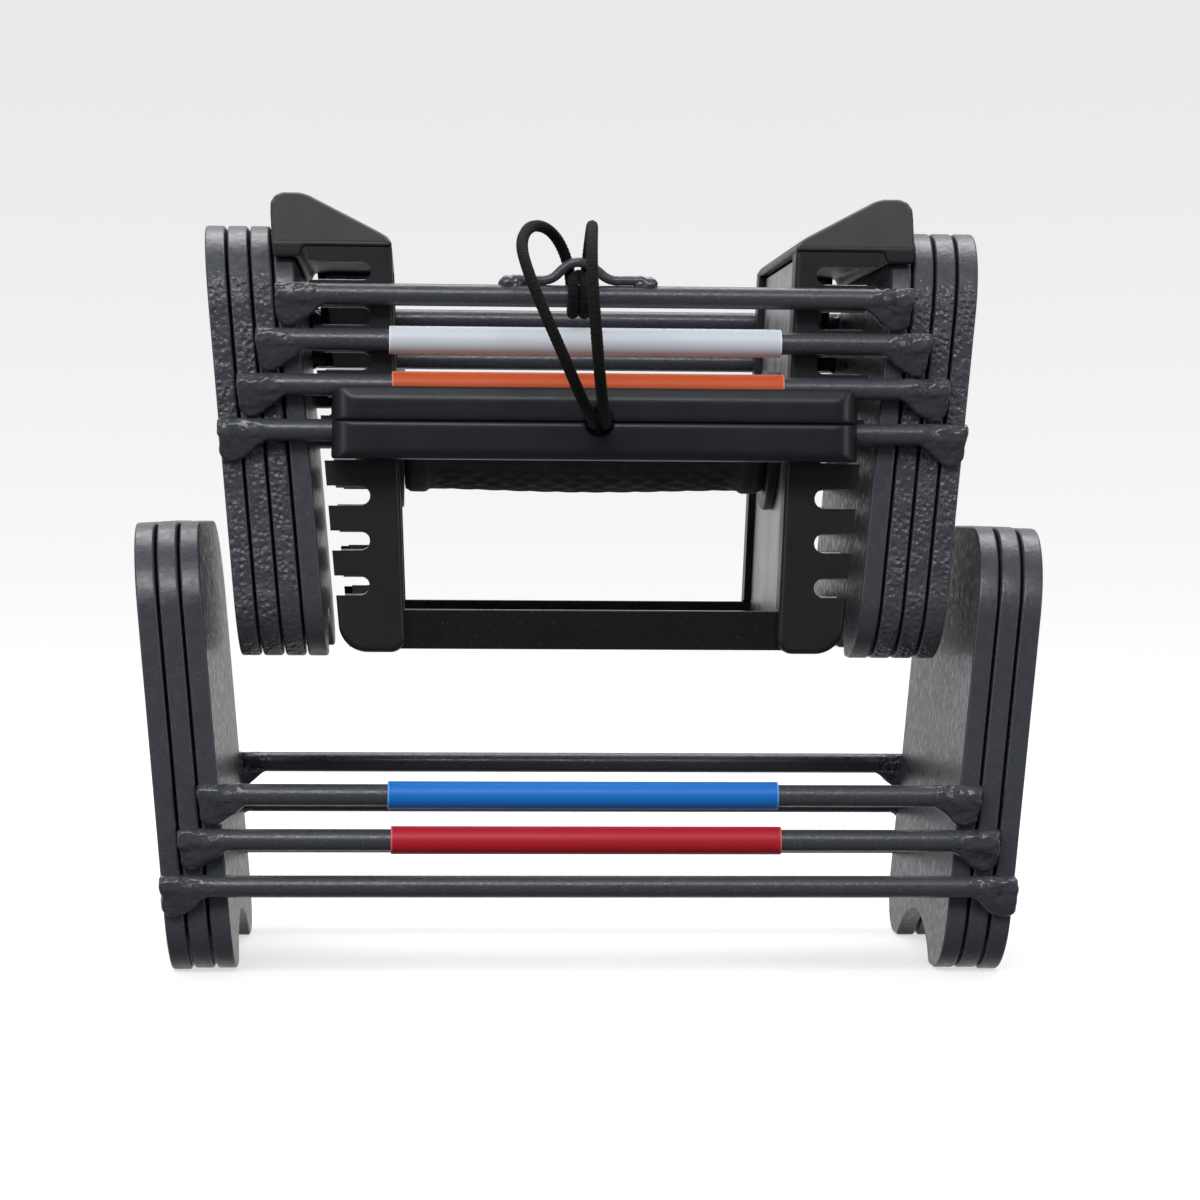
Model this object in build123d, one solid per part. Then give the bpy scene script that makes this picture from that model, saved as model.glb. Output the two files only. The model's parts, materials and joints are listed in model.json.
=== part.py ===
from build123d import *
import os
from math import pi, tan

# Adjustable dumbbell: a handle core, seven nesting weight frames and a two-pronged selector.
# mm, +Z up, the selector on the -Y side. Heights called z are above the underside of a frame's plates.

os.makedirs("parts", exist_ok=True)

# ---- Rest pose ----
REST_LIFT = 86.7  # how far the handle and frames 1 to 4 stand above the frames left below
GROUND_GAP = 0.4  # frames that move stand this much above the outermost frame's foot
LIFTED = (1, 2, 3, 4)  # frames that the selector locks to the handle
FRAMES = (1, 2, 3, 4, 5, 6, 7)  # innermost to outermost

# ---- Plates ----
PLATE_TOP = 123.0
INNER_TOP = 118.5  # frames 2 to 4
PLATE_DEPTH = 108.6
PLATE_T = 5.4  # along X
PLATE_STEP = 6.15  # from one frame's plate to the next, along X
PLATE_1_INNER = 76.5  # half the width inside frame 1, at SLANT_Z
SLANT = 0.09  # how much wider per mm of height
SLANT_Z = 50.4
TOP_R = 24.0
FOOT_R = 17.0
FRAME_1_TOP = 112.8  # frame 1 is lower, to go under the caps
FRAME_1_TOP_R = 16.0
ARCH_HALF = 30.3  # notch between the two legs of a plate
ARCH_RISE = 11.5
TOE_R = 2.5

# ---- Rails ----
RAIL_R = 3.0
RAIL_STEP = 12.2
RAIL_7_Z = 25.1
RAIL_Y = 57.65  # centre of the rod, 0.35 clear of the plates' edges
SLEEVE_R = 3.8
SLEEVE_LENGTH = 106.0
SLEEVE_X = {2: -2.6, 3: -1.8, 4: -2.0, 5: -2.4, 6: -1.5}  # frame to its sleeve's middle
GUSSET_DROP = 8.6  # below the rail's centre
GUSSET_RUN = 7.6  # along the rod, inward of the plate
GUSSET_Y = 60.4
GUSSET_TOE_Y = 56.5

# ---- Handle core ----
COVER_INNER = 50.6  # half the width between the columns, at z = 0
COVER_SLANT = 0.04
COVER_Y = 52.8
COVER_T = 2.5
COVER_TIP = 72.7  # half-width of the tooth tips at SLANT_Z
COVER_TOP = 111.4
COVER_RETURN = 44.0  # the covers wrap the columns' corners back to here
CORE_FOOT = 1.6
STEEL_T = 2.5
STEEL_Y = 50.25
STEEL_TIP = 70.3
SLOT_DROP = 5.4  # slot centre below the rail's centre
SLOT_H = 5.4
STEEL_SLOT_H = 4.6
SLOT_INNER = 60.6
CAP_PEAK = 127.1
CAP_LOW = 112.6  # height of the cap's sloping top at its inner side
CAP_LIP = 108.6  # the cap reaches down to here over frame 1's corners
CAP_GAP = 0.4
GRIP_Z = 61.0
GRIP_R = 15.5
GRIP_TUBE_R = 11.0
GRIP_TUBE_T = 2.5
FLANGE_R = 20.0
FLANGE_T = 3.5
BOLT_R = 4.0
BOLT_HEAD_R = 6.5
BOLT_HEAD = 3.2
BAR_LOW = 2.4
BAR_H = 10.8
BAR_T = 3.0
BAR_Y = 47.6
BAR_HALF = 64.0

# ---- Selector ----
PIN_R = 1.7
PIN_DROP = 5.1  # prong centre below the rail's centre
PIN_X = 65.0
PIN_END_Y = 58.5
PIN_BEND = 4.0
SEL_HALF = 71.0
SEL_FRONT = 67.0
SEL_SHELF = 61.9  # behind this the bar stays under the next sleeve up
SEL_BACK = 53.6
SEL_LOW = 54.0
SEL_SHELF_TOP = 69.4
SEL_TOP = 73.5
SEL_SPLIT = 64.2
SEL_CORNER_R = 6.5
GROOVE = 0.9
CORD_HOLE_R = 3.65
CORD_HOLE_X = 0.8

# ---- Cord clip and lanyard ----
WIRE_R = 1.25
CORD_R = 1.55
KNOT_X = (-6.15, -3.0)
KNOT_R = 4.6  # centre line of a turn round the rail

# The selector's front and the far rails are the nearest and farthest points, so this centres the whole.
Y_MID = (SEL_FRONT - (RAIL_Y + RAIL_R)) / 2


def rail_z(frame):
    """Height of a frame's rails."""
    return RAIL_7_Z + (7 - frame) * RAIL_STEP


def inner(frame, z):
    """Half-width to the inner face of a frame's plates."""
    return PLATE_1_INNER + (frame - 1) * PLATE_STEP + SLANT * (z - SLANT_Z)


def outer(frame, z):
    """Half-width to the outer face of a frame's plates."""
    return inner(frame, z) + PLATE_T


def cover_x(z):
    """Half-width to the inner side of the column covers."""
    return COVER_INNER + COVER_SLANT * z


def prism_xz(points, y_low, y_high):
    """Solid on an outline in X and Z."""
    face = make_face(Polyline(*[(x, y_low, z) for x, z in points], close=True))
    return extrude(face, amount=y_high - y_low, dir=(0, 1, 0))


def prism_yz(points, x_low, x_high):
    """Solid on an outline in Y and Z."""
    face = make_face(Polyline(*[(x_low, y, z) for y, z in points], close=True))
    return extrude(face, amount=x_high - x_low, dir=(1, 0, 0))


def block(x_low, x_high, y_low, y_high, z_low, z_high):
    """Box between limits."""
    centre = Pos((x_low + x_high) / 2, (y_low + y_high) / 2, (z_low + z_high) / 2)
    return centre * Box(x_high - x_low, y_high - y_low, z_high - z_low)


def rod_x(radius, x_low, x_high, y, z):
    """Round bar along X."""
    return Pos((x_low + x_high) / 2, y, z) * Rot(0, 90, 0) * Cylinder(radius, x_high - x_low)


def rod_y(radius, y_low, y_high, x, z):
    """Round bar along Y."""
    return Pos(x, (y_low + y_high) / 2, z) * Rot(90, 0, 0) * Cylinder(radius, y_high - y_low)


def edges_at(shape, axis, spots, slack=0.6):
    """Edges along an axis whose middle is at one of the spots, given on the two other axes."""
    found = []
    for edge in shape.edges().filter_by(axis):
        middle = edge.position_at(0.5)
        if axis == Axis.X:
            at = (middle.Y, middle.Z)
        elif axis == Axis.Y:
            at = (middle.X, middle.Z)
        else:
            at = (middle.X, middle.Y)
        if any(abs(at[0] - s[0]) < slack and abs(at[1] - s[1]) < slack for s in spots):
            found.append(edge)
    return found


def write(name, shape, lift=0.0):
    """Save one node, raised by lift."""
    export_step(Pos(0, Y_MID, lift) * shape, "parts/" + name + ".step")


def write_pair(stem, right, lift=0.0):
    """Save a right-hand piece and its left-hand mirror image."""
    write(stem + "_right", right, lift)
    write(stem + "_left", mirror(right, about=Plane.YZ), lift)


def frame_lift(frame):
    """How high a frame stands at rest."""
    if frame in LIFTED:
        return REST_LIFT
    return 0.0 if frame == 7 else GROUND_GAP


# ---- Weight frames ----
def plate_block(top, top_r, grow, x_low, x_high):
    """A plate's outline with its rounded corners, grown by a clearance, as a deep block along X."""
    half = PLATE_DEPTH / 2 + grow
    body = block(x_low, x_high, -half, half, -grow, top + grow)
    body = fillet(edges_at(body, Axis.X, [(-half, top + grow), (half, top + grow)]), top_r + grow)
    return fillet(edges_at(body, Axis.X, [(-half, -grow), (half, -grow)]), FOOT_R + grow)


def plate(frame):
    """Right-hand plate of a frame."""
    top, top_r = (FRAME_1_TOP, FRAME_1_TOP_R) if frame == 1 else (PLATE_TOP, TOP_R)
    if frame in (2, 3, 4):
        top = INNER_TOP
    low, high = inner(frame, 0) - 5, outer(frame, top) + 5
    body = plate_block(top, top_r, 0, low, high)
    arch_r = (ARCH_HALF**2 + ARCH_RISE**2) / (2 * ARCH_RISE)
    body -= rod_x(arch_r, low - 1, high + 1, 0, ARCH_RISE - arch_r)
    body = fillet(edges_at(body, Axis.X, [(-ARCH_HALF, 0), (ARCH_HALF, 0)]), TOE_R)
    lean = [(inner(frame, -5), -5), (outer(frame, -5), -5)]
    lean += [(outer(frame, top + 5), top + 5), (inner(frame, top + 5), top + 5)]
    return body & prism_xz(lean, -70, 70)


def gusset(frame):
    """Weld at the right-hand end of the near rail, on the plate's edge and tapering below the rod."""
    z = rail_z(frame)
    low, high = z - GUSSET_DROP, z + RAIL_R
    x_low = inner(frame, low)
    corners = [(x_low, low + 1.3), (x_low + 1.3, low), (outer(frame, low) - 1.5, low)]
    corners += [(outer(frame, low + 1.8), low + 1.8), (outer(frame, high), high), (inner(frame, high), high)]
    pad = prism_xz(corners, -GUSSET_Y, -PLATE_DEPTH / 2)
    pad = fillet(edges_at(pad, Axis.X, [(-GUSSET_Y, high)], 1.0), RAIL_R - 0.5)
    under = z - RAIL_R
    web = [(x_low - GUSSET_RUN, under + 0.6), (x_low + 1.5, under + 0.6), (x_low + 1.5, low + 0.9)]
    web += [(x_low - 0.4, low + 0.9), (x_low - 2.4, low + 2.5), (x_low - 4.4, low + 4.2)]
    web += [(x_low - 6.2, under)]
    pad += prism_xz(web, -GUSSET_Y + 0.5, -(RAIL_Y - RAIL_R))
    toe = low - 0.01
    cut = [(-GUSSET_Y, z - 1.0), (-GUSSET_TOE_Y, toe), (-GUSSET_Y - 2, toe), (-GUSSET_Y - 2, z - 1.0)]
    return pad - prism_yz(cut, x_low - GUSSET_RUN - 2, outer(frame, high) + 2)


def rail(frame):
    """Near rail of a frame with a weld at each end."""
    z = rail_z(frame)
    end = outer(frame, z - RAIL_R) - 0.3
    weld = gusset(frame)
    return rod_x(RAIL_R, -end, end, -RAIL_Y, z) + weld + mirror(weld, about=Plane.YZ)


for frame in FRAMES:
    lift = frame_lift(frame)
    write_pair("frame_%d_plate" % frame, plate(frame), lift)
    near = rail(frame)
    write("frame_%d_rail_near" % frame, near, lift)
    write("frame_%d_rail_far" % frame, mirror(near, about=Plane.XZ), lift)
    if frame in SLEEVE_X:
        start = SLEEVE_X[frame] - SLEEVE_LENGTH / 2
        end = start + SLEEVE_LENGTH
        tube = rod_x(SLEEVE_R, start, end, -RAIL_Y, rail_z(frame))
        tube -= rod_x(RAIL_R + 0.02, start - 1, end + 1, -RAIL_Y, rail_z(frame))
        write("frame_%d_sleeve" % frame, tube, lift)

# ---- Steel columns ----
SLOT_Z = [rail_z(frame) - SLOT_DROP for frame in FRAMES] + [rail_z(1) + RAIL_STEP - SLOT_DROP]


def slot(z, height):
    """Cutter for one slot, rounded at its inner end and open outward."""
    r = height / 2
    cut = block(SLOT_INNER + r, 90, -60, 60, z - r, z + r)
    return cut + rod_y(r, -60, 60, SLOT_INNER + r, z)


def tip(half, z):
    """Half-width of a leaning outer edge."""
    return half + SLANT * (z - SLANT_Z)


def column():
    """Right-hand steel column: a web toward the grip and a slotted wall near and far."""
    low, high = CORE_FOOT + 1.4, COVER_TOP - 0.6
    start = COVER_INNER + 2.0
    web_in = [(start + COVER_SLANT * low, low), (start + COVER_SLANT * high, high)]
    outline = [web_in[0], (tip(STEEL_TIP, low), low), (tip(STEEL_TIP, high), high), web_in[1]]
    body = prism_xz(outline, -STEEL_Y, STEEL_Y)
    hollow = [(start + STEEL_T + COVER_SLANT * z, z) for z in (low - 1, high + 1)]
    hollow = [hollow[0], (95, low - 1), (95, high + 1), hollow[1]]
    body -= prism_xz(hollow, -STEEL_Y + STEEL_T, STEEL_Y - STEEL_T)
    for z in SLOT_Z:
        body -= slot(z, STEEL_SLOT_H)
    for side in (-1, 1):  # notches that let the cross bars through the web
        inside, outside = sorted((side * (BAR_Y + 0.15), side * (BAR_Y - BAR_T - 0.3)))
        body -= block(45, 60, inside, outside, 0, BAR_LOW + BAR_H + 0.4)
    return body - rod_x(BOLT_R + 0.1, 45, 65, 0, GRIP_Z)


steel = column() - rod_y(2.1, -60, 60, BAR_HALF - 4.0, BAR_LOW + BAR_H / 2)
write_pair("column", steel, REST_LIFT)


# ---- Column covers ----
def cover():
    """Right-hand near cover: a slotted front and a lip that wraps the column's inner corner."""
    low, high = CORE_FOOT, COVER_TOP
    outline = [(cover_x(low), low), (tip(COVER_TIP, low), low)]
    outline += [(tip(COVER_TIP, high), high), (cover_x(high), high)]
    front = prism_xz(outline, -COVER_Y, -COVER_Y + COVER_T)
    front = fillet(edges_at(front, Axis.Y, [(tip(COVER_TIP, low), low)], 1.0), 8.0)
    for z in SLOT_Z:
        front -= slot(z, SLOT_H)
    lip = [(cover_x(low), low), (cover_x(low) + 1.9, low)]
    lip += [(cover_x(high) + 1.9, high), (cover_x(high), high)]
    body = front + prism_xz(lip, -COVER_Y, -COVER_RETURN)
    body = fillet(edges_at(body, Axis.Y, [(cover_x(low), low)], 1.0), 4.0)
    corner = [e for e in body.edges() if e.length > 60 and abs(e.position_at(0.5).Y + COVER_Y) < 0.1
              and abs(e.position_at(0.5).X - cover_x(e.position_at(0.5).Z)) < 0.3]
    body = fillet(corner, 1.6)
    # The cross bar passes behind the cover's foot.
    return body - block(45, BAR_HALF + 1, -BAR_Y - 0.2, -COVER_RETURN + 1, -1, BAR_LOW + BAR_H + 0.4)


near_cover = cover()
far_cover = mirror(near_cover, about=Plane.XZ)
write_pair("cover_near", near_cover, REST_LIFT)
write_pair("cover_far", far_cover, REST_LIFT)


# ---- Caps ----
def cap():
    """Right-hand cap: high on the outside, sloping down to the grip, with a lip over frame 1."""
    base = COVER_TOP + 0.05
    x_in = cover_x(base)
    top = outer(1, CAP_PEAK)
    outline = [(x_in, base), (x_in, CAP_LOW), (x_in + 1.2, CAP_LOW + 1.8), (x_in + 3.6, CAP_LOW + 3.3)]
    outline += [(top - 10.8, CAP_PEAK - 0.7), (top - 8.4, CAP_PEAK), (top - 3.6, CAP_PEAK)]
    outline += [(top - 1.6, CAP_PEAK - 0.9), (top - 0.5, CAP_PEAK - 2.9)]
    outline += [(outer(1, CAP_PEAK - 7), CAP_PEAK - 7), (outer(1, CAP_LIP), CAP_LIP)]
    outline += [(inner(1, CAP_LIP) - 1.6, CAP_LIP), (inner(1, base) - 3.0, base)]
    body = prism_xz(outline, -COVER_Y, COVER_Y)
    clear = plate_block(FRAME_1_TOP, FRAME_1_TOP_R, CAP_GAP, 60, 110)
    lean = [(inner(1, 80) - CAP_GAP, 80), (120, 80), (120, 125), (inner(1, 125) - CAP_GAP, 125)]
    body -= clear & prism_xz(lean, -70, 70)
    for side in (-1, 1):  # the top leans back from the near and far sides
        lean = [(side * (COVER_Y + 0.01), COVER_TOP + 1.2), (side * (COVER_Y + 0.01), CAP_PEAK + 6)]
        lean += [(side * (COVER_Y - 17), CAP_PEAK + 6)]
        body -= prism_yz(lean, 40, 110)
    return body


write_pair("cap", cap(), REST_LIFT)

# ---- Grip ----
between = [(-cover_x(0) - 1.95, 0), (cover_x(0) + 1.95, 0)]
between += [(cover_x(110) + 1.95, 110), (-cover_x(110) - 1.95, 110)]
gap = prism_xz(between, -45, 45)
face_x = cover_x(GRIP_Z) + 1.95
tube = rod_x(GRIP_TUBE_R, -70, 70, 0, GRIP_Z) - rod_x(GRIP_TUBE_R - GRIP_TUBE_T, -60, 60, 0, GRIP_Z)
plug = face_x - 9.0  # the tube's ends are plugged for the bolts
bore = GRIP_TUBE_R - GRIP_TUBE_T
tube += rod_x(bore, plug, 70, 0, GRIP_Z) + rod_x(bore, -70, -plug, 0, GRIP_Z)
tube -= rod_x(BOLT_R, plug - 1, 75, 0, GRIP_Z) + rod_x(BOLT_R, -75, 1 - plug, 0, GRIP_Z)
write("grip_tube", tube & gap, REST_LIFT)

flange = rod_x(FLANGE_R, face_x - FLANGE_T, 70, 0, GRIP_Z) - rod_x(GRIP_TUBE_R + 0.02, 40, 75, 0, GRIP_Z)
write_pair("grip_flange", flange & gap, REST_LIFT)

grip_half = face_x - FLANGE_T - 0.1
sleeve = rod_x(GRIP_R, -grip_half, grip_half, 0, GRIP_Z) - rod_x(GRIP_TUBE_R + 0.02, -60, 60, 0, GRIP_Z)
write("grip_sleeve", sleeve, REST_LIFT)

head_x = face_x + STEEL_T + 1.4  # clear of the web, which leans
bolt = rod_x(BOLT_R - 0.03, plug + 0.5, head_x + 0.5, 0, GRIP_Z)
bolt += Pos(head_x + BOLT_HEAD / 2, 0, GRIP_Z) * Rot(0, 90, 0) * extrude(
    RegularPolygon(BOLT_HEAD_R, 6), amount=BOLT_HEAD / 2, both=True
)
write("grip_bolts", Compound(children=[bolt, mirror(bolt, about=Plane.YZ)]), REST_LIFT)

# ---- Cross bars ----
bar_z = BAR_LOW + BAR_H / 2
bar = block(-BAR_HALF, BAR_HALF, -BAR_Y, -BAR_Y + BAR_T, BAR_LOW, BAR_LOW + BAR_H)
for x in (-BAR_HALF + 4.0, BAR_HALF - 4.0):
    bar -= rod_y(2.1, -60, -40, x, bar_z)
write("cross_bar_near", bar, REST_LIFT)
write("cross_bar_far", mirror(bar, about=Plane.XZ), REST_LIFT)

rivet = rod_y(2.05, -STEEL_Y + 0.05, -BAR_Y + BAR_T + 0.1, BAR_HALF - 4.0, bar_z)
rivet += rod_y(3.6, -BAR_Y + BAR_T + 0.05, -BAR_Y + BAR_T + 2.6, BAR_HALF - 4.0, bar_z)
rivets = [rivet, mirror(rivet, about=Plane.YZ)]
rivets += [mirror(r, about=Plane.XZ) for r in rivets]
write("cross_bar_bolts", Compound(children=rivets), REST_LIFT)

# ---- Selector ----
rail_4 = rail_z(4)
pin_z = rail_4 - PIN_DROP
route = FilletPolyline(
    (-PIN_X, PIN_END_Y, pin_z), (-PIN_X, -SEL_FRONT + 2.8, pin_z), (PIN_X, -SEL_FRONT + 2.8, pin_z),
    (PIN_X, PIN_END_Y, pin_z), radius=PIN_BEND,
)
pin = sweep(Plane(route @ 0, z_dir=route % 0) * Circle(PIN_R), path=route)
socket = sweep(Plane(route @ 0, z_dir=route % 0) * Circle(PIN_R + 0.02), path=route)
write("selector_rod", pin, REST_LIFT)

profile = [(-SEL_FRONT + 1.8, SEL_LOW), (-SEL_BACK, SEL_LOW), (-SEL_BACK, SEL_SHELF_TOP)]
profile += [(-SEL_SHELF, SEL_SHELF_TOP), (-SEL_SHELF, SEL_TOP), (-SEL_FRONT + 1.6, SEL_TOP)]
profile += [(-SEL_FRONT, SEL_TOP - 3.2), (-SEL_FRONT, SEL_LOW + 1.8)]
body = prism_yz(profile, -SEL_HALF, SEL_HALF)
face_on = block(-SEL_HALF, SEL_HALF, -80, -40, SEL_LOW, SEL_TOP)
body &= fillet(edges_at(face_on, Axis.Y, [(-SEL_HALF, SEL_TOP), (SEL_HALF, SEL_TOP)]), 3.6)
from_above = block(-SEL_HALF, SEL_HALF, -SEL_FRONT, -SEL_BACK, SEL_LOW - 1, SEL_TOP + 1)
front_corners = [(-SEL_HALF, -SEL_FRONT), (SEL_HALF, -SEL_FRONT)]
body &= fillet(edges_at(from_above, Axis.Z, front_corners), SEL_CORNER_R)
wide, tight = SLEEVE_R + 0.35, RAIL_R + 0.35
wide_half = SLEEVE_LENGTH / 2 - SLEEVE_X[4] + 1.0
body -= block(-wide_half, wide_half, -RAIL_Y - wide - 0.05, 0, rail_4 - wide, rail_4 + wide)
for side in (-1, 1):
    low, high = sorted((side * (wide_half - 0.5), side * 90))
    body -= block(low, high, -RAIL_Y - tight, 0, pin_z + 0.4, rail_4 + tight)
body -= socket
groove = block(-90, 90, -SEL_FRONT - 1, -SEL_FRONT + 0.6, SEL_SPLIT - GROOVE / 2, SEL_SPLIT + GROOVE / 2)
for side in (-1, 1):
    low, high = sorted((side * (SEL_HALF - 0.6), side * 90))
    groove += block(low, high, -90, -40, SEL_SPLIT - GROOVE / 2, SEL_SPLIT + GROOVE / 2)
body -= groove
body -= rod_y(CORD_HOLE_R, -90, -RAIL_Y - wide - 0.85, CORD_HOLE_X, SEL_SPLIT)
write("selector_lower", body & block(-90, 90, -90, 0, 0, SEL_SPLIT), REST_LIFT)
write("selector_upper", body & block(-90, 90, -90, 0, SEL_SPLIT + 0.02, 130), REST_LIFT)


def bend_radii(points, stretch=0.45):
    """A tangent arc at each inner point, as large as its shorter neighbour allows."""
    radii = []
    for a, b, c in zip(points, points[1:], points[2:]):
        u, v = Vector(*b) - Vector(*a), Vector(*c) - Vector(*b)
        half_turn = u.get_angle(v) / 2 * pi / 180
        radii.append(stretch * min(u.length, v.length) / tan(half_turn))
    return radii


# ---- Cord clip ----
rail_1 = rail_z(1)
foot = RAIL_R + WIRE_R + 0.01
hump = [(-24.0, foot), (-11.8, foot), (-7.9, 8.5), (-4.6, 9.2), (-0.8, 8.2), (3.4, foot), (14.6, foot)]
hump = [(x, -RAIL_Y, rail_1 + z) for x, z in hump]
wire = FilletPolyline(*hump, radius=bend_radii(hump, 0.4))
clip = sweep(Plane(wire @ 0, z_dir=wire % 0) * Circle(WIRE_R), path=wire)
write("cord_clip", clip, REST_LIFT)


# ---- Lanyard ----
def strand(name, points):
    """A cord through points."""
    radii = bend_radii(points)
    path = FilletPolyline(*points, radius=radii)
    tube = sweep(Plane(path @ 0, z_dir=path % 0) * Circle(CORD_R), path=path)
    volume = pi * CORD_R**2 * path.length
    print(name, "length", round(path.length, 1), "radii", [round(r, 1) for r in radii],
          "volume", round(tube.volume, 1), "expected", round(volume, 1))
    write(name, tube, REST_LIFT)


# Each strand leaves the back of the knot, arches over the clip and hangs forward to the selector.
back = -RAIL_Y + KNOT_R
LEFT = [
    (KNOT_X[0], back, rail_1 + 0.1), (KNOT_X[0] - 0.45, back - 0.3, 105.2), (-9.4, -56.8, 112.6),
    (-13.6, -64.5, 116.4), (-18.6, -75.0, 115.9), (-21.4, -86.0, 110.4), (-19.8, -95.6, 102.6),
    (-15.6, -101.0, 91.6), (-10.6, -100.4, 80.6), (-6.2, -93.6, 71.4), (-2.8, -83.6, 65.6),
    (CORD_HOLE_X - 1.6, -72.8, 63.7), (CORD_HOLE_X - 1.6, -63.9, 63.7),
]
RIGHT = [
    (KNOT_X[1], back, rail_1 + 0.1), (KNOT_X[1] + 0.6, back - 0.2, 105.4), (-1.7, -57.2, 113.2),
    (-1.6, -66.5, 116.6), (-2.1, -78.0, 115.6), (-2.8, -89.5, 110.6), (-3.2, -98.6, 102.6),
    (-2.7, -103.4, 92.0), (-1.7, -102.2, 80.8), (-0.4, -94.8, 71.8), (1.0, -84.0, 65.9),
    (CORD_HOLE_X + 1.5, -73.2, 63.7), (CORD_HOLE_X + 1.6, -63.9, 63.7),
]
strand("lanyard_strand_left", LEFT)
strand("lanyard_strand_right", RIGHT)

# Two turns down the front of the rail and up its back, joined over its top under the clip.
turns = [Pos(x, -RAIL_Y, rail_1) * Rot(0, 90, 0) * Torus(KNOT_R, CORD_R) for x in KNOT_X]
knot = turns[0] + turns[1] - block(-20, 20, -RAIL_Y + 0.8, -40, rail_1 + 0.05, rail_1 + 20)
bight_z = rail_1 + KNOT_R
bight = rod_x(CORD_R - 0.1, KNOT_X[0], KNOT_X[1], -RAIL_Y + 0.2, bight_z)
write("lanyard_knot", knot + bight, REST_LIFT)
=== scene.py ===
"""Looks of an adjustable dumbbell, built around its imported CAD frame."""

import json
import math

import bmesh
import bpy
import numpy as np
from mathutils import Matrix, Vector, noise


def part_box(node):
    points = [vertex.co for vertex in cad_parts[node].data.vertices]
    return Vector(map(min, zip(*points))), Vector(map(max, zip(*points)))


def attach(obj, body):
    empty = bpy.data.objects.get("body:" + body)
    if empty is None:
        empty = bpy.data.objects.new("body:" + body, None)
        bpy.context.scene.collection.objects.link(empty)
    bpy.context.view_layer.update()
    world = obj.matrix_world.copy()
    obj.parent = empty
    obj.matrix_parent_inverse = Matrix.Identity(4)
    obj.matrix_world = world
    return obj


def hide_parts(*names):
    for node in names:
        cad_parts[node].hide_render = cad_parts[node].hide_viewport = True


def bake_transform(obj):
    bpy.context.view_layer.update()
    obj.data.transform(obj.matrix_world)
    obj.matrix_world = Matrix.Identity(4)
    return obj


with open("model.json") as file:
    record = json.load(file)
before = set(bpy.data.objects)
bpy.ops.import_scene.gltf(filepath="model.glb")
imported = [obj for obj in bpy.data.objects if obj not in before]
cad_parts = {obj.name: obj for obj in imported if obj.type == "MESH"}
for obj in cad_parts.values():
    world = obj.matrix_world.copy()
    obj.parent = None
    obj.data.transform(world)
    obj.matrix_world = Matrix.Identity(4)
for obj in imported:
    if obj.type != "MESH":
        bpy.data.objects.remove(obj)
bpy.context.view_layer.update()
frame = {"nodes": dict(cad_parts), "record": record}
nodes = frame["nodes"]
BODY_OF = {n: b for b, names in frame["record"]["behaviour"]["bodies"].items() for n in names}
SLOT_OF = {p["node"]: p["material_slot"] for p in frame["record"]["subparts"]}
MM = 0.001
FRAMES = range(1, 8)

# Frame 1's near rail, which the lanyard and the cord clip are placed from.
near_rail_1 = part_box("frame_1_rail_near")
RAIL_R = 3.0 * MM
RAIL_Y = near_rail_1[0].y + RAIL_R
RAIL_1_Z = near_rail_1[1].z - RAIL_R


# ---- Shared helpers ----
def linked(name, data):
    """A new object that holds data, linked to the scene."""
    obj = bpy.data.objects.new(name, data)
    bpy.context.scene.collection.objects.link(obj)
    return obj


def mesh_of(bm, name):
    """A new mesh from a bmesh, which is freed."""
    mesh = bpy.data.meshes.new(name)
    bm.to_mesh(mesh)
    bm.free()
    return mesh


def bridge(bm, rings):
    """Joins each ring of vertices to the next with quads."""
    for a, b in zip(rings, rings[1:]):
        for i in range(len(a)):
            j = (i + 1) % len(a)
            bm.faces.new((a[i], b[i], b[j], a[j]))


def shade_smooth(mesh):
    for face in mesh.polygons:
        face.use_smooth = True


def smooth_step(t):
    t = min(1.0, max(0.0, t))
    return t * t * (3 - 2 * t)


# ---- Camera ----
camera = linked("camera", bpy.data.cameras.new("camera"))
bpy.context.scene.camera = camera
camera.data.sensor_width = 36.0
camera.data.lens = 98.1
camera.data.clip_start = 0.01
camera.data.clip_end = 60.0
YAW, PITCH, ROLL = (math.radians(a) for a in (-3.24, -1.61, 0.40))
camera.matrix_world = (
    Matrix.Translation((-0.0483, -0.9389, 0.1279))
    @ Matrix.Rotation(YAW, 4, "Z")
    @ Matrix.Rotation(math.pi / 2 + PITCH, 4, "X")
    @ Matrix.Rotation(ROLL, 4, "Z")
)


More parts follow.
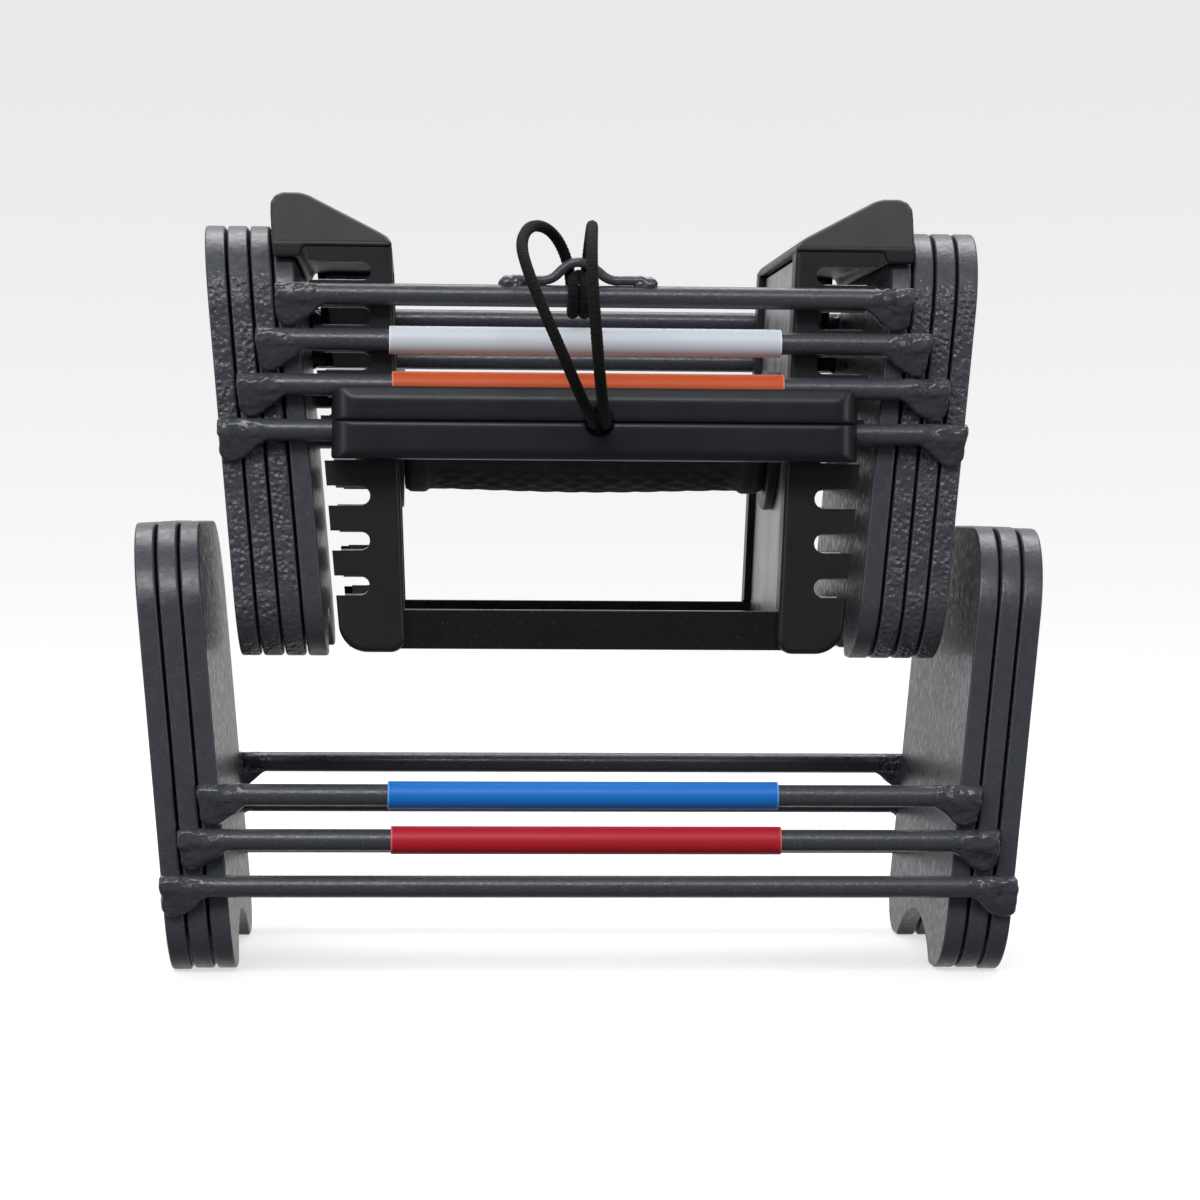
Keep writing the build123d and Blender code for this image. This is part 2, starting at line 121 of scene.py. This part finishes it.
# ---- Materials ----
class Shader:
    """A Principled material and short ways to feed it."""

    def __init__(self, name, color, roughness, **sockets):
        self.material = bpy.data.materials.new(name)
        self.material.use_nodes = True
        self.tree = self.material.node_tree
        self.bsdf = self.tree.nodes["Principled BSDF"]
        self.color, self.roughness = color, roughness
        self.set("Base Color", (*color, 1.0))
        self.set("Roughness", roughness)
        for key, value in sockets.items():
            self.set(key.replace("_", " "), value)
        self.place = self.tree.nodes.new("ShaderNodeTexCoord").outputs["Object"]
        self.heights = []

    def set(self, socket, value):
        self.bsdf.inputs[socket].default_value = value

    def link(self, source, target):
        self.tree.links.new(source, target)

    def feed(self, socket, value):
        """Links a socket to the input, or sets it to a plain value."""
        if isinstance(value, bpy.types.NodeSocket):
            self.link(value, socket)
        else:
            socket.default_value = value

    def add(self, kind, **inputs):
        node = self.tree.nodes.new("ShaderNode" + kind)
        for key, value in inputs.items():
            self.feed(node.inputs[key], value)
        return node

    def stretched(self, scale):
        """Object coordinates scaled by axis, for a grain with a direction."""
        return self.add("Mapping", Vector=self.place, Scale=scale).outputs[0]

    def noise(self, scale, detail=2.0, roughness=0.5, vector=None):
        made = self.add("TexNoise", Vector=vector or self.place, Scale=scale, Detail=detail,
                        Roughness=roughness)
        return made.outputs[0]

    def cells(self, scale, randomness=1.0):
        """Distance from the middle of the nearest cell."""
        made = self.add("TexVoronoi", Vector=self.place, Scale=scale, Randomness=randomness)
        return made.outputs["Distance"]

    def remap(self, value, low, high, to_low, to_high):
        """Turns the range low to high into to_low to to_high, and clamps outside it."""
        made = self.add("MapRange", Value=value)
        limits = {"From Min": low, "From Max": high, "To Min": to_low, "To Max": to_high}
        for key, number in limits.items():
            made.inputs[key].default_value = number
        return made.outputs[0]

    def math(self, operation, a, b=0.0):
        made = self.tree.nodes.new("ShaderNodeMath")
        made.operation = operation
        for socket, value in zip(made.inputs, (a, b)):
            self.feed(socket, value)
        return made.outputs[0]

    def mix(self, factor, a, b):
        """Colour a where factor is 0 and b where it is 1. A plain colour has no alpha."""
        made = self.tree.nodes.new("ShaderNodeMix")
        made.data_type = "RGBA"
        self.link(factor, made.inputs[0])
        for socket, value in ((made.inputs[6], a), (made.inputs[7], b)):
            plain = isinstance(value, tuple)
            self.feed(socket, (*value, 1.0) if plain else value)
        return made.outputs[2]

    def vary_color(self, factor, other):
        """Mixes the base colour toward another by a factor, on top of what is linked already."""
        links = self.bsdf.inputs["Base Color"].links
        base = links[0].from_socket if links else self.color
        self.link(self.mix(factor, base, other), self.bsdf.inputs["Base Color"])

    def vary_roughness(self, value, spread):
        low, high = self.roughness - spread, self.roughness + spread
        self.link(self.remap(value, 0.3, 0.7, low, high), self.bsdf.inputs["Roughness"])

    def bump(self, height, distance, strength=1.0):
        made = self.add("Bump", Height=height, Distance=distance, Strength=strength)
        if self.heights:
            self.link(self.heights[-1], made.inputs["Normal"])
        self.heights.append(made.outputs[0])
        self.link(made.outputs[0], self.bsdf.inputs["Normal"])


COAT_COLOR = (0.047, 0.051, 0.064)


def powder_coat(name, peel, roughness=0.33, cast_below=None):
    """Textured powder coat: a coarse peel that breaks the highlights up, over a fine grain.

    Below the height cast_below the narrow faces also show the pitted skin of the steel under it.
    """
    s = Shader(name, COAT_COLOR, roughness, Specular_IOR_Level=0.5)
    s.vary_color(s.remap(s.noise(55, 3), 0.35, 0.65, 0.0, 0.5), tuple(c * 0.84 for c in COAT_COLOR))
    # Painted glints: fine lighter flecks in the base colour stand in for the coat's specular
    # sparkle.
    painted_glints = s.remap(s.noise(1700, 1), 0.64, 0.74, 0.0, 0.45)
    s.vary_color(painted_glints, (0.15, 0.155, 0.175))
    s.vary_roughness(s.noise(420, 2), 0.09)
    if cast_below:
        normal = s.add("NewGeometry").outputs["True Normal"]
        facing = s.add("SeparateXYZ", Vector=normal).outputs[0]
        narrow = s.remap(s.math("ABSOLUTE", facing), 0.5, 0.8, 1.0, 0.0)
        height = s.add("SeparateXYZ", Vector=s.place).outputs[2]
        low = s.remap(height, cast_below - 2 * MM, cast_below + 2 * MM, 1.0, 0.0)
        patchy = s.remap(s.noise(90, 2), 0.38, 0.58, 0.35, 1.0)
        pits = s.remap(s.cells(560), 0.08, 0.55, 0.0, 1.0)
        shown = s.math("MULTIPLY", s.math("MULTIPLY", narrow, low), patchy)
        s.bump(s.math("MULTIPLY", s.math("ADD", pits, s.noise(900, 2, 0.6)), shown), 0.00042)
    s.bump(s.noise(620, 1, 0.5), peel)
    s.bump(s.noise(1500, 1), 0.00002)
    return s.material


def moulded_plastic(name, color, roughness, grain=0.00002):
    """Moulded plastic with a fine spark-eroded grain and faint handling marks."""
    s = Shader(name, color, roughness, Specular_IOR_Level=0.36)
    s.vary_color(s.remap(s.noise(38, 4), 0.4, 0.7, 0.0, 0.6), tuple(c * 1.4 for c in color))
    s.vary_roughness(s.noise(120, 4, 0.6), 0.05)
    s.bump(s.noise(2100, 2, 0.6), grain)
    return s.material


def plated_steel(name, color, roughness, brushed):
    """Bright plated steel with drawing marks along one axis and a little staining."""
    s = Shader(name, color, roughness, Metallic=1.0)
    lines = s.noise(260, 3, 0.6, s.stretched(brushed))
    s.vary_color(s.remap(s.noise(70, 4, 0.6), 0.45, 0.75, 0.0, 0.7), tuple(c * 0.62 for c in color))
    s.vary_roughness(lines, 0.1)
    s.bump(lines, 0.00003)
    return s.material


def gloss_paint(name):
    """Black gloss paint with a few dust specks."""
    s = Shader(name, (0.006, 0.006, 0.007), 0.16, Specular_IOR_Level=0.5)
    s.vary_color(s.remap(s.noise(900, 1), 0.66, 0.74, 0.0, 0.4), (0.05, 0.05, 0.055))
    s.vary_roughness(s.noise(80, 4), 0.07)
    s.bump(s.noise(260, 2), 0.00004)
    return s.material


def grip_rubber(name):
    """Matt rubber, greyer where it is handled."""
    s = Shader(name, (0.017, 0.017, 0.018), 0.68, Specular_IOR_Level=0.35)
    s.vary_color(s.remap(s.noise(60, 4), 0.4, 0.7, 0.0, 0.7), (0.032, 0.032, 0.033))
    s.vary_roughness(s.noise(300, 3), 0.1)
    s.bump(s.noise(1900, 3, 0.65), 0.00006)
    return s.material


def braided_cord(name):
    """Fine fibres over the braid's own relief."""
    s = Shader(name, (0.0042, 0.0042, 0.0046), 0.82, Specular_IOR_Level=0.14, Sheen_Weight=0.02)
    s.vary_color(s.remap(s.noise(1400, 3, 0.7), 0.45, 0.8, 0.0, 0.6), (0.014, 0.014, 0.015))
    s.vary_roughness(s.noise(800, 2), 0.06)
    s.bump(s.noise(4200, 3, 0.7), 0.00006)
    return s.material


def sleeve_plastic(name, color, rim_highlight, node):
    """Extruded tube: fine lines along it, and a painted highlight as a paler rim at both cut ends.
    """
    low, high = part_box(node)
    s = Shader(name, color, 0.46, Specular_IOR_Level=0.3)
    s.vary_color(s.remap(s.noise(45, 3, 0.5, s.stretched((0.35, 1, 1))), 0.35, 0.7, 0.0, 0.5),
                 tuple(c * 0.86 for c in color))
    split = s.add("SeparateXYZ", Vector=s.place)
    away = s.math("ABSOLUTE", s.math("SUBTRACT", split.outputs[0], (low.x + high.x) / 2))
    half = (high.x - low.x) / 2
    # Painted highlight: the last fraction of a millimetre at each cut end is mixed toward a paler
    # colour.
    s.vary_color(s.remap(away, half - 0.55 * MM, half - 0.25 * MM, 0.0, 0.85), rim_highlight)
    s.vary_roughness(s.noise(240, 3, 0.6, s.stretched((0.05, 1, 1))), 0.06)
    s.bump(s.noise(700, 2, 0.5, s.stretched((0.04, 1, 1))), 0.00003)
    s.bump(s.noise(160, 2), 0.00005, 0.5)
    return s.material


MATERIALS = {
    "powder_coat": powder_coat("powder_coat_grey", 0.00007),
    "column_steel": plated_steel("steel_plated", (0.42, 0.42, 0.44), 0.38, (1.0, 1.0, 0.05)),
    "cover_plastic": moulded_plastic("plastic_cover", (0.0090, 0.0096, 0.0115), 0.40),
    "grip_rubber": grip_rubber("rubber_grip"),
    "bolt_steel": plated_steel("steel_bolt", (0.50, 0.50, 0.51), 0.30, (0.1, 1.0, 1.0)),
    "bar_paint": gloss_paint("paint_black"),
    "selector_plastic": moulded_plastic("plastic_selector", (0.0095, 0.0110, 0.0150), 0.36),
    "lanyard_cord": braided_cord("cord_braid"),
}
SLEEVE_COLORS = (  # slot, frame, colour, colour of the painted highlight on the cut ends
    ("sleeve_white", 2, (0.62, 0.66, 0.72), (0.90, 0.92, 0.95)),
    ("sleeve_orange", 3, (0.56, 0.085, 0.020), (0.74, 0.26, 0.12)),
    ("sleeve_yellow", 4, (0.66, 0.44, 0.02), (0.88, 0.74, 0.35)),
    ("sleeve_blue", 5, (0.006, 0.170, 0.60), (0.16, 0.42, 0.80)),
    ("sleeve_red", 6, (0.47, 0.012, 0.028), (0.72, 0.18, 0.20)),
)
for slot, number, color, rim_highlight in SLEEVE_COLORS:
    MATERIALS[slot] = sleeve_plastic(slot, color, rim_highlight, "frame_%d_sleeve" % number)
WELD = powder_coat("powder_coat_weld", 0.00022, roughness=0.25)
CAST_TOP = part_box("frame_3_plate_left")[1].z - 15 * MM
CAST = powder_coat("powder_coat_cast", 0.00008, cast_below=CAST_TOP)
CAST_FRAMES = (2, 3, 4)


def paint(obj, material):
    obj.data.materials.clear()
    obj.data.materials.append(material)


for name, obj in nodes.items():
    cast = name.startswith(tuple("frame_%d_plate" % number for number in CAST_FRAMES))
    paint(obj, CAST if cast else MATERIALS[SLOT_OF[name]])


# ---- Pieces and modifiers ----
def soften(node, width, segments=2, angle=32.0):
    """Rounds a CAD node's sharp edges without touching its mesh."""
    obj = nodes[node]
    weld = obj.modifiers.new("join", "WELD")
    weld.merge_threshold = 1e-6
    flat = obj.modifiers.new("flat", "DECIMATE")
    flat.decimate_type = "DISSOLVE"
    flat.angle_limit = math.radians(0.6)
    bevel = obj.modifiers.new("edge", "BEVEL")
    bevel.width = width
    bevel.segments = segments
    bevel.limit_method = "ANGLE"
    bevel.angle_limit = math.radians(angle)
    bevel.use_clamp_overlap = True
    bevel.miter_outer = "MITER_ARC"
    normal = obj.modifiers.new("shade", "WEIGHTED_NORMAL")
    normal.keep_sharp = False
    normal.weight = 60
    shade_smooth(obj.data)


def melt(obj, voxel, rounds):
    """Rounds every edge of an object by remeshing it finely and relaxing it."""
    remesh = obj.modifiers.new("remesh", "REMESH")
    remesh.mode = "VOXEL"
    remesh.voxel_size = voxel
    remesh.use_smooth_shade = True
    relax = obj.modifiers.new("relax", "SMOOTH")
    relax.factor = 0.5
    relax.iterations = rounds


def piece(name, mesh, material, body, stands_for=()):
    """Links a new object that rides on a body, or on none if no body is given."""
    obj = linked(name, mesh)
    paint(obj, material)
    shade_smooth(mesh)
    if body:
        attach(obj, body)
    if stands_for:
        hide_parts(*stands_for)
    return obj


def evaluated(obj):
    """The object's mesh with its modifiers applied, as a new mesh."""
    bpy.context.view_layer.update()
    graph = bpy.context.evaluated_depsgraph_get()
    return bpy.data.meshes.new_from_object(obj.evaluated_get(graph))


def melted(mesh, voxel, rounds):
    """The mesh remeshed and relaxed, as a new mesh."""
    work = linked("work", mesh)
    melt(work, voxel, rounds)
    result = evaluated(work)
    bpy.data.objects.remove(work)
    return result


def lathe_x(profile, sides, centre, wave=None):
    """Mesh of revolution about X from (x, radius) pairs; wave(x, angle) adds to the radius."""
    bm = bmesh.new()
    rings = []
    for x, radius in profile:
        ring = []
        for i in range(sides):
            angle = 2 * math.pi * i / sides
            r = radius + (wave(x, angle) if wave else 0.0)
            offset = Vector((x, r * math.cos(angle), r * math.sin(angle)))
            ring.append(bm.verts.new(centre + offset))
        rings.append(ring)
    return closed_tube(bm, rings, "lathe")


def closed_tube(bm, rings, name):
    """The mesh of a tube through the rings, closed at both ends."""
    bridge(bm, rings)
    for ring in (rings[0], rings[-1]):
        bm.faces.new(ring)
    bmesh.ops.recalc_face_normals(bm, faces=bm.faces)
    return mesh_of(bm, name)


# ---- Rails: a plain rod with a lumpy weld at each end ----
WELD_REACH = 17.5 * MM  # from a rail's end inward
WELD_VOXEL = 0.42 * MM
WELD_LUMP = 0.6 * MM
WELD_BEAD = 0.55 * MM
WELD_GROWTH = 0.12 * MM
WELD_COAT_FROM = 5 * MM  # outward of the cut, where the weld's own coat starts
ROD_SHORT = 5 * MM  # the plain rod stops this far from the rail's end, inside the weld


def weld_end(node, side, axis_y, axis_z, cut):
    """The CAD rail's end, remeshed and roughened as a weld. Returns its mesh."""
    bm = bmesh.new()
    bm.from_mesh(nodes[node].data)
    bmesh.ops.remove_doubles(bm, verts=bm.verts, dist=1e-6)
    found = bmesh.ops.bisect_plane(
        bm, geom=bm.verts[:] + bm.edges[:] + bm.faces[:], plane_co=(side * cut, 0, 0),
        plane_no=(-side, 0, 0), clear_outer=True,
    )
    rim = [e for e in found["geom_cut"] if isinstance(e, bmesh.types.BMEdge)]
    bmesh.ops.edgeloop_fill(bm, edges=rim)
    result = melted(mesh_of(bm, "end"), WELD_VOXEL, 12)
    low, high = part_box(node)
    seed = Vector((high.x * 900, axis_y * 1300, side * 7.7 + axis_z * 500))
    normals = [v.normal.copy() for v in result.vertices]
    for v, normal in zip(result.vertices, normals):
        inward = abs(v.co.x) - cut
        rough = smooth_step((inward - 2.5 * MM) / (6 * MM))
        upper = smooth_step((v.co.z - axis_z + 5 * MM) / (6 * MM))
        lump = noise.noise(v.co * 210 + seed) * WELD_LUMP
        bead = noise.noise(v.co * 560 + seed * 2) * WELD_BEAD * (0.25 + 0.75 * upper)
        v.co += normal * ((lump + bead + WELD_GROWTH) * rough)
        offset = Vector((0, v.co.y - axis_y, v.co.z - axis_z))
        if inward < 4 * MM and offset.length > 1e-6:  # sinks below the rod near the cut
            shrink = min(1.0, RAIL_R * 0.95 / offset.length)
            sunk = Vector((v.co.x, axis_y, axis_z)) + offset * shrink
            v.co = sunk.lerp(v.co, smooth_step((inward - 1.5 * MM) / (2.5 * MM)))
        v.co = Vector(min(max(c, a), b) for c, a, b in zip(v.co, low, high))
    return result


def joined(meshes):
    """One mesh that holds all the meshes."""
    bm = bmesh.new()
    for mesh in meshes:
        bm.from_mesh(mesh)
    return mesh_of(bm, "joined")


for number in FRAMES:
    for where in ("near", "far"):
        node = "frame_%d_rail_%s" % (number, where)
        low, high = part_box(node)
        axis_y = low.y + RAIL_R if where == "near" else high.y - RAIL_R
        axis_z = high.z - RAIL_R
        cut = high.x - WELD_REACH
        reach = high.x - ROD_SHORT
        profile = [(x, RAIL_R) for x in np.linspace(-reach, reach, 24)]
        rod = lathe_x(profile, 40, Vector((0, axis_y, axis_z)))
        ends = [weld_end(node, side, axis_y, axis_z, cut) for side in (-1, 1)]
        made = piece("rail_%d_%s" % (number, where), joined([rod, *ends]), MATERIALS["powder_coat"],
                     BODY_OF[node], (node,))
        made.data.materials.append(WELD)
        for face in made.data.polygons:
            if abs(face.center.x) > cut + WELD_COAT_FROM:
                face.material_index = 1

# ---- CAD nodes with rounded edges ----
for number in FRAMES:
    for side in ("left", "right"):
        soften("frame_%d_plate_%s" % (number, side), 0.7 * MM, 3)
for _, number, _, _ in SLEEVE_COLORS:
    soften("frame_%d_sleeve" % number, 0.18 * MM, 2)
for side in ("left", "right"):
    melt(nodes["cap_" + side], 0.45 * MM, 7)
    soften("column_" + side, 0.3 * MM, 2)
    soften("grip_flange_" + side, 0.6 * MM, 3)
    for where in ("near", "far"):
        soften("cover_%s_%s" % (where, side), 0.5 * MM, 3)
for name in ("selector_lower", "selector_upper"):
    melt(nodes[name], 0.45 * MM, 9)
for name in ("cross_bar_near", "cross_bar_far"):
    soften(name, 0.4 * MM, 3)
for name in ("grip_bolts", "cross_bar_bolts"):
    soften(name, 0.3 * MM, 2)
for name in ("grip_tube", "selector_rod", "cord_clip"):
    soften(name, 0.1 * MM, 1, 60.0)

# ---- Grip: a contoured sleeve with ribbed bands ----
low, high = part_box("grip_sleeve")
grip_centre = (low + high) / 2
grip_half = (high.x - low.x) / 2
grip_r = (high.z - low.z) / 2
BAND_EDGE = 8 * MM
RIB_COUNT = 18
RIB_TWIST = 1.2 * MM  # along the grip, for a radian of a rib's turn
RIB_DEPTH = 0.5 * MM
GRIP_SWELL = 0.9 * MM
COLLAR = 0.9 * MM


def grip_wave(x, angle):
    """Diamond ribs over the grip, fading out at its ends."""
    fade = smooth_step((grip_half - BAND_EDGE - abs(x)) / (3 * MM))
    a = math.cos(RIB_COUNT * angle + x / RIB_TWIST)
    b = math.cos(RIB_COUNT * angle - x / RIB_TWIST)
    return -RIB_DEPTH * fade * (1 - max(a, b, 0.0) ** 0.6)


grip_profile = [(-grip_half, grip_r - 2.4 * MM)]
for t in np.linspace(-1, 1, 150):
    swell = GRIP_SWELL * (0.5 - 0.5 * math.cos(math.pi * (1 - abs(t))))
    rise, fall = smooth_step((abs(t) - 0.86) / 0.03), smooth_step((abs(t) - 0.965) / 0.035)
    collar = COLLAR * (rise - fall)
    grip_profile.append((t * (grip_half - 0.2 * MM), grip_r - 1.0 * MM + swell + collar))
grip_profile.append((grip_half, grip_r - 2.4 * MM))
grip_mesh = lathe_x(grip_profile, 144, grip_centre, grip_wave)
piece("grip_contoured", grip_mesh, MATERIALS["grip_rubber"], "lifted_group",
      ("grip_sleeve",))


# ---- Lanyard ----
CORD_R = 1.55 * MM
RAIL_1 = 98.3  # height of frame 1's rail in the CAD source's millimetres
RAIL_BACK = -57.65  # and where it lies from front to back
LIFT = RAIL_1_Z - RAIL_1 * MM  # what turns the source's heights and depths into the frame's
DEEP = RAIL_Y - RAIL_BACK * MM
YARNS = 8
YARN_PITCH = 5.2 * MM


def route(points):
    """Smooth line through control points given in the source's millimetres."""
    data = bpy.data.curves.new("route", "CURVE")
    data.dimensions = "3D"
    data.resolution_u = 36
    spline = data.splines.new("NURBS")
    spline.points.add(len(points) - 1)
    for point, (x, y, z) in zip(spline.points, points):
        point.co = (x * MM, y * MM + DEEP, z * MM + LIFT, 1.0)
    spline.order_u = 3
    spline.use_endpoint_u = True
    obj = linked("route", data)
    bpy.context.view_layer.update()
    mesh = bpy.data.meshes.new_from_object(obj)
    line = [v.co.copy() for v in mesh.vertices]
    bpy.data.objects.remove(obj)
    return line


def braided_tube(line, radius, sides=28, relief=0.07):
    """Tube of a braided sheath along a line: two crossing sets of yarns."""
    tangents = []
    for i in range(len(line)):
        ahead, behind = line[min(i + 1, len(line) - 1)], line[max(i - 1, 0)]
        tangents.append((ahead - behind).normalized())
    side = tangents[0].orthogonal().normalized()
    bm = bmesh.new()
    rings, run = [], 0.0
    for i, (spot, tangent) in enumerate(zip(line, tangents)):
        if i:
            run += (spot - line[i - 1]).length
            side = (side - tangent * side.dot(tangent)).normalized()
        up = tangent.cross(side)
        ring = []
        for k in range(sides):
            angle = 2 * math.pi * k / sides
            turn = 2 * math.pi * run / YARN_PITCH
            around = YARNS / 2 * angle
            over = math.cos(around + turn * 2) * math.cos(around - turn * 2)
            r = radius * (1 - relief / 2 + relief * over)
            outward = side * math.cos(angle) + up * math.sin(angle)
            ring.append(bm.verts.new(spot + outward * r))
        rings.append(ring)
    return closed_tube(bm, rings, "braid")


# The routes are in the CAD source's millimetres.
KNOT_X = (-6.15, -3.0)
KNOT_R = 4.6
HOLE_X = 0.8
BACK = RAIL_BACK + KNOT_R
LEFT = [
    (KNOT_X[0], BACK, RAIL_1 + 0.1), (KNOT_X[0] - 0.45, BACK - 0.3, 105.2), (-9.4, -56.8, 112.6),
    (-13.6, -64.5, 116.4), (-18.6, -75.0, 115.9), (-21.4, -86.0, 110.4), (-19.8, -95.6, 102.6),
    (-15.6, -101.0, 91.6), (-10.6, -100.4, 80.6), (-6.2, -93.6, 71.4), (-2.8, -83.6, 65.6),
    (HOLE_X - 1.6, -72.8, 63.7), (HOLE_X - 1.6, -63.9, 63.7),
]
RIGHT = [
    (KNOT_X[1], BACK, RAIL_1 + 0.1), (KNOT_X[1] + 0.6, BACK - 0.2, 105.4), (-1.7, -57.2, 113.2),
    (-1.6, -66.5, 116.6), (-2.1, -78.0, 115.6), (-2.8, -89.5, 110.6), (-3.2, -98.6, 102.6),
    (-2.7, -103.4, 92.0), (-1.7, -102.2, 80.8), (-0.4, -94.8, 71.8), (1.0, -84.0, 65.9),
    (HOLE_X + 1.5, -73.2, 63.7), (HOLE_X + 1.6, -63.9, 63.7),
]


def turn_points(x, angles):
    """Control points of one turn round the rail; angle 0 is its back and 90 its top."""
    reach = KNOT_R / math.cos(math.radians(15))
    turns = [math.radians(a) for a in angles]
    return [(x, RAIL_BACK + reach * math.cos(a), RAIL_1 + reach * math.sin(a)) for a in turns]


down = [0, -30, -60, -90, -120, -150, -180, -210, -240, -262]
knot_points = turn_points(KNOT_X[0], down)
knot_points.append(((KNOT_X[0] + KNOT_X[1]) / 2, RAIL_BACK + 0.9, RAIL_1 + KNOT_R + 1.5))
knot_points += list(reversed(turn_points(KNOT_X[1], down)))
knot = piece("lanyard_turns", braided_tube(route(knot_points), CORD_R), MATERIALS["lanyard_cord"],
             "lifted_group", ("lanyard_knot",))

for name, points, pieces in (("lanyard_left", LEFT, [knot]), ("lanyard_right", RIGHT, [])):
    line = route(points)
    strand = piece(name, braided_tube(line, CORD_R), MATERIALS["lanyard_cord"], None,
                   (name.replace("lanyard_", "lanyard_strand_"),))
    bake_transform(strand)


# ---- Cord clip: bent wire whose ends turn down into the rail and are welded there ----
WIRE_R = 1.25 * MM
WIRE_VOXEL = 0.28 * MM
CLIP_WELD = 5 * MM  # from a wire's end, where the weld's coat stops
wire = [(-25.6, 0.8), (-24.9, 3.4), (-22.4, 4.5), (-18.0, 4.2), (-11.8, 4.26), (-8.2, 8.3),
        (-4.6, 9.6), (-0.6, 8.0), (3.4, 4.3), (8.5, 4.35), (13.2, 4.5), (15.4, 3.2), (16.1, 0.8)]
weld_lumps = ((-24.0, 3.3, 2.1), (-21.6, 3.0, 1.8), (14.6, 3.3, 2.2), (12.2, 3.0, 1.7))
wire_line = route([(x, RAIL_BACK, RAIL_1 + z) for x, z in wire])


def wire_mesh():
    """Plain round wire with a lump of weld over each end, remeshed into one skin."""
    bm = bmesh.new()
    bm.from_mesh(braided_tube(wire_line, WIRE_R, 24, 0.0))
    for x, z, size in weld_lumps:
        place = Matrix.Translation((x * MM, RAIL_BACK * MM + DEEP, (RAIL_1 + z) * MM + LIFT))
        bmesh.ops.create_icosphere(bm, subdivisions=3, radius=size * MM, matrix=place)
    result = melted(mesh_of(bm, "clip"), WIRE_VOXEL, 5)
    centre = (wire_line[0].x + wire_line[-1].x) / 2
    normals = [v.normal.copy() for v in result.vertices]
    for v, normal in zip(result.vertices, normals):
        rough = smooth_step((abs(v.co.x - centre) - 14.5 * MM) / (3 * MM))
        v.co += normal * (noise.noise(v.co * 620) * (0.05 + 0.35 * rough) * MM + 0.1 * MM)
    return result


clip = piece("cord_clip_wire", wire_mesh(), MATERIALS["powder_coat"], "lifted_group",
             ("cord_clip",))
clip.data.materials.append(WELD)
plain_from, plain_to = wire_line[0].x + CLIP_WELD, wire_line[-1].x - CLIP_WELD
for face in clip.data.polygons:
    if not plain_from <= face.center.x <= plain_to:
        face.material_index = 1


# ---- Stage: a round pale floor that curves up into its backdrop ----
FLOOR_R = 1.8
CURVE_R = 1.4
WALL_R = FLOOR_R + CURVE_R
FLOOR_DROP = 0.02 * MM


def backdrop():
    """Bowl that is left out of diffuse and glossy rays, so it doesn't wash the object out."""
    profile = [(1.2, 0.0), (FLOOR_R, 0.0)]
    profile += [(FLOOR_R + CURVE_R * math.sin(a), CURVE_R * (1 - math.cos(a)))
                for a in np.linspace(0.1, math.pi / 2, 16)]
    profile += [(WALL_R, 2.4), (WALL_R, 4.0)]
    bm = bmesh.new()
    sides = 96
    centre = bm.verts.new((0, 0, 0))
    rings = []
    for radius, height in profile:
        angles = [2 * math.pi * i / sides for i in range(sides)]
        rings.append([bm.verts.new((radius * math.cos(a), radius * math.sin(a), height))
                      for a in angles])
    for i in range(sides):
        bm.faces.new((centre, rings[0][i], rings[0][(i + 1) % sides]))
    bridge(bm, rings)
    mesh = mesh_of(bm, "backdrop")
    shade_smooth(mesh)
    obj = linked("backdrop", mesh)
    obj.location.z = -FLOOR_DROP
    shader = Shader("backdrop", (0.50, 0.50, 0.503), 0.9, Specular_IOR_Level=0.1,
                    Emission_Color=(1, 1, 1, 1), Emission_Strength=0.62)
    paint(obj, shader.material)
    obj.visible_diffuse = False
    obj.visible_glossy = False


backdrop()


def area_light(name, place, size, power, target=(0, 0, 0.1)):
    """Soft rectangular light at a place, turned to the target."""
    data = bpy.data.lights.new(name, "AREA")
    data.shape = "RECTANGLE"
    data.size, data.size_y = size
    data.energy = power
    obj = linked(name, data)
    obj.location = place
    obj.rotation_euler = (Vector(target) - Vector(place)).to_track_quat("-Z", "Y").to_euler()


area_light("top", (0.0, 0.55, 1.45), (1.4, 0.8), 15)
area_light("key", (-0.35, -1.35, 1.15), (1.3, 0.6), 18)
area_light("left", (-1.25, -0.75, 0.45), (0.35, 0.9), 4)
area_light("right", (1.25, -0.75, 0.45), (0.35, 0.9), 4)


SURROUND_DIM = 0.16


def studio():
    """Soft surround: bright overhead and behind, dim at floor level and on the front."""
    world = bpy.data.worlds.new("world")
    world.use_nodes = True
    tree = world.node_tree
    add, link = tree.nodes.new, tree.links.new
    split = add("ShaderNodeSeparateXYZ")
    link(add("ShaderNodeTexCoord").outputs["Generated"], split.inputs[0])
    terms = []
    for axis, low, high, gain in ((2, 0.1, 0.9, 0.35), (1, -0.1, 0.7, 0.55)):
        part = add("ShaderNodeMapRange")
        part.interpolation_type = "SMOOTHSTEP"
        link(split.outputs[axis], part.inputs[0])
        for key, value in (("From Min", low), ("From Max", high), ("To Max", gain)):
            part.inputs[key].default_value = value
        terms.append(part.outputs[0])
    total = add("ShaderNodeMath")
    link(terms[0], total.inputs[0])
    link(terms[1], total.inputs[1])
    lifted = add("ShaderNodeMath")
    link(total.outputs[0], lifted.inputs[0])
    lifted.inputs[1].default_value = SURROUND_DIM
    link(lifted.outputs[0], tree.nodes["Background"].inputs[1])
    tree.nodes["Background"].inputs[0].default_value = (1, 1, 1, 1)
    bpy.context.scene.world = world


studio()
bpy.context.scene.view_settings.view_transform = "Standard"
